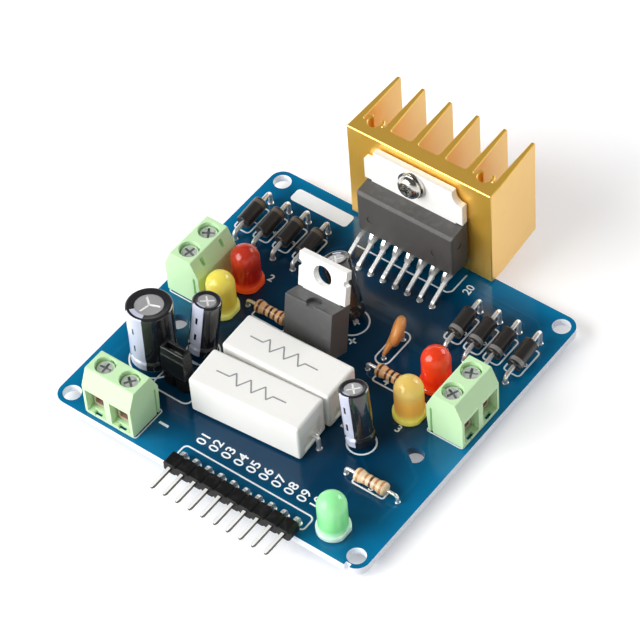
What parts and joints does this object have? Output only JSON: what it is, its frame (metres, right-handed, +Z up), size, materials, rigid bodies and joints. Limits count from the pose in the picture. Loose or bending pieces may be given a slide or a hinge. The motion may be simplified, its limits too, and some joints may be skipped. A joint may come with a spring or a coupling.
{
  "type": "dc motor driver module",
  "caption": "Small blue circuit board that drives DC motors: power chip on a finned gold heatsink, screw terminals, pin header, lamps and supply parts.",
  "frame": {"origin": "bottom centre of the model's box, on the plane of the clipped lead ends under the board", "axes": "+X along the pin header's edge, +Y from the pin header towards the heatsink, +Z up from the components' side"},
  "size_m": [0.063, 0.0808, 0.0245],
  "materials": {
    "board_blue": "glossy solder mask over glass fibre",
    "gold_anodised": "gold anodised, satin",
    "moulded_black": "matt moulding compound",
    "tinned_metal": "tin plated",
    "zinc_steel": "zinc plated",
    "pale_green_plastic": "pale green, slightly glossy",
    "black_sleeve": "shrunk sleeve",
    "white_ceramic": "unglazed white",
    "orange_dip": "dipped coating",
    "tan_lacquer": "lacquer with colour bands",
    "led_red_left": "clear tinted epoxy",
    "led_yellow_left": "diffused tinted epoxy",
    "led_red_right": "clear tinted epoxy",
    "led_amber_right": "diffused tinted epoxy",
    "led_green_front": "diffused tinted epoxy"
  },
  "bodies": {
    "board": {"circuit_board": "board_blue", "heatsink": "gold_anodised", "heatsink_screw": "zinc_steel", "driver_chip_body": "moulded_black", "driver_chip_tab": "tinned_metal", "regulator_body": "moulded_black", "regulator_tab": "tinned_metal", "pin_header": "moulded_black", "jumper_post": "moulded_black", "jumper_cap": "moulded_black", "terminal_housing_front": "pale_green_plastic", "terminal_contact_front_1": "tinned_metal", "terminal_contact_front_2": "tinned_metal", "terminal_housing_left": "pale_green_plastic", "terminal_contact_left_1": "tinned_metal", "terminal_contact_left_2": "tinned_metal", "terminal_housing_right": "pale_green_plastic", "terminal_contact_right_1": "tinned_metal", "terminal_contact_right_2": "tinned_metal", "diode_1": "moulded_black", "diode_2": "moulded_black", "diode_3": "moulded_black", "diode_4": "moulded_black", "diode_5": "moulded_black", "diode_6": "moulded_black", "diode_7": "moulded_black", "diode_8": "moulded_black", "axial_resistor_rear": "tan_lacquer", "axial_resistor_middle": "tan_lacquer", "axial_resistor_front": "tan_lacquer", "led_red_left": "led_red_left", "led_yellow_left": "led_yellow_left", "led_red_right": "led_red_right", "led_amber_right": "led_amber_right", "led_green_front": "led_green_front", "electrolytic_main": "black_sleeve", "electrolytic_rear_left": "black_sleeve", "electrolytic_front_right": "black_sleeve", "electrolytic_centre": "black_sleeve", "ceramic_disc": "orange_dip", "ceramic_resistor_front": "white_ceramic", "ceramic_resistor_rear": "white_ceramic"},
    "screw_front_1": {"terminal_screw_front_1": "zinc_steel"},
    "clamp_front_1": {"terminal_clamp_front_1": "tinned_metal"},
    "screw_front_2": {"terminal_screw_front_2": "zinc_steel"},
    "clamp_front_2": {"terminal_clamp_front_2": "tinned_metal"},
    "screw_left_1": {"terminal_screw_left_1": "zinc_steel"},
    "clamp_left_1": {"terminal_clamp_left_1": "tinned_metal"},
    "screw_left_2": {"terminal_screw_left_2": "zinc_steel"},
    "clamp_left_2": {"terminal_clamp_left_2": "tinned_metal"},
    "screw_right_1": {"terminal_screw_right_1": "zinc_steel"},
    "clamp_right_1": {"terminal_clamp_right_1": "tinned_metal"},
    "screw_right_2": {"terminal_screw_right_2": "zinc_steel"},
    "clamp_right_2": {"terminal_clamp_right_2": "tinned_metal"}
  },
  "joints": [
    {"name": "lift_clamp_front_1", "type": "slide", "parent": "board", "child": "clamp_front_1", "axis": [0, 0, 1], "range_m": [0, 0.0018]},
    {"name": "turn_screw_front_1", "type": "hinge", "parent": "board", "child": "screw_front_1", "pos_m": [-0.02204, -0.02987, 0.0101], "axis": [0, 0, 1], "range_deg": [-1297, 0]},
    {"name": "lift_clamp_front_2", "type": "slide", "parent": "board", "child": "clamp_front_2", "axis": [0, 0, 1], "range_m": [0, 0.0018]},
    {"name": "turn_screw_front_2", "type": "hinge", "parent": "board", "child": "screw_front_2", "pos_m": [-0.01696, -0.02987, 0.0101], "axis": [0, 0, 1], "range_deg": [-1297, 0]},
    {"name": "lift_clamp_left_1", "type": "slide", "parent": "board", "child": "clamp_left_1", "axis": [0, 0, 1], "range_m": [0, 0.0018]},
    {"name": "turn_screw_left_1", "type": "hinge", "parent": "board", "child": "screw_left_1", "pos_m": [-0.0264, 0.00242, 0.0101], "axis": [0, 0, 1], "range_deg": [-1297, 0]},
    {"name": "lift_clamp_left_2", "type": "slide", "parent": "board", "child": "clamp_left_2", "axis": [0, 0, 1], "range_m": [0, 0.0018]},
    {"name": "turn_screw_left_2", "type": "hinge", "parent": "board", "child": "screw_left_2", "pos_m": [-0.0264, -0.00266, 0.0101], "axis": [0, 0, 1], "range_deg": [-1297, 0]},
    {"name": "lift_clamp_right_1", "type": "slide", "parent": "board", "child": "clamp_right_1", "axis": [0, 0, 1], "range_m": [0, 0.0018]},
    {"name": "turn_screw_right_1", "type": "hinge", "parent": "board", "child": "screw_right_1", "pos_m": [0.0271, -0.00266, 0.0101], "axis": [0, 0, 1], "range_deg": [-1297, 0]},
    {"name": "lift_clamp_right_2", "type": "slide", "parent": "board", "child": "clamp_right_2", "axis": [0, 0, 1], "range_m": [0, 0.0018]},
    {"name": "turn_screw_right_2", "type": "hinge", "parent": "board", "child": "screw_right_2", "pos_m": [0.0271, 0.00242, 0.0101], "axis": [0, 0, 1], "range_deg": [-1297, 0]}
  ],
  "couplings": [
    {"joint": "turn_screw_front_1", "follows": "lift_clamp_front_1", "rad_per_m": -12566},
    {"joint": "turn_screw_front_2", "follows": "lift_clamp_front_2", "rad_per_m": -12566},
    {"joint": "turn_screw_left_1", "follows": "lift_clamp_left_1", "rad_per_m": -12566},
    {"joint": "turn_screw_left_2", "follows": "lift_clamp_left_2", "rad_per_m": -12566},
    {"joint": "turn_screw_right_1", "follows": "lift_clamp_right_1", "rad_per_m": -12566},
    {"joint": "turn_screw_right_2", "follows": "lift_clamp_right_2", "rad_per_m": -12566}
  ]
}
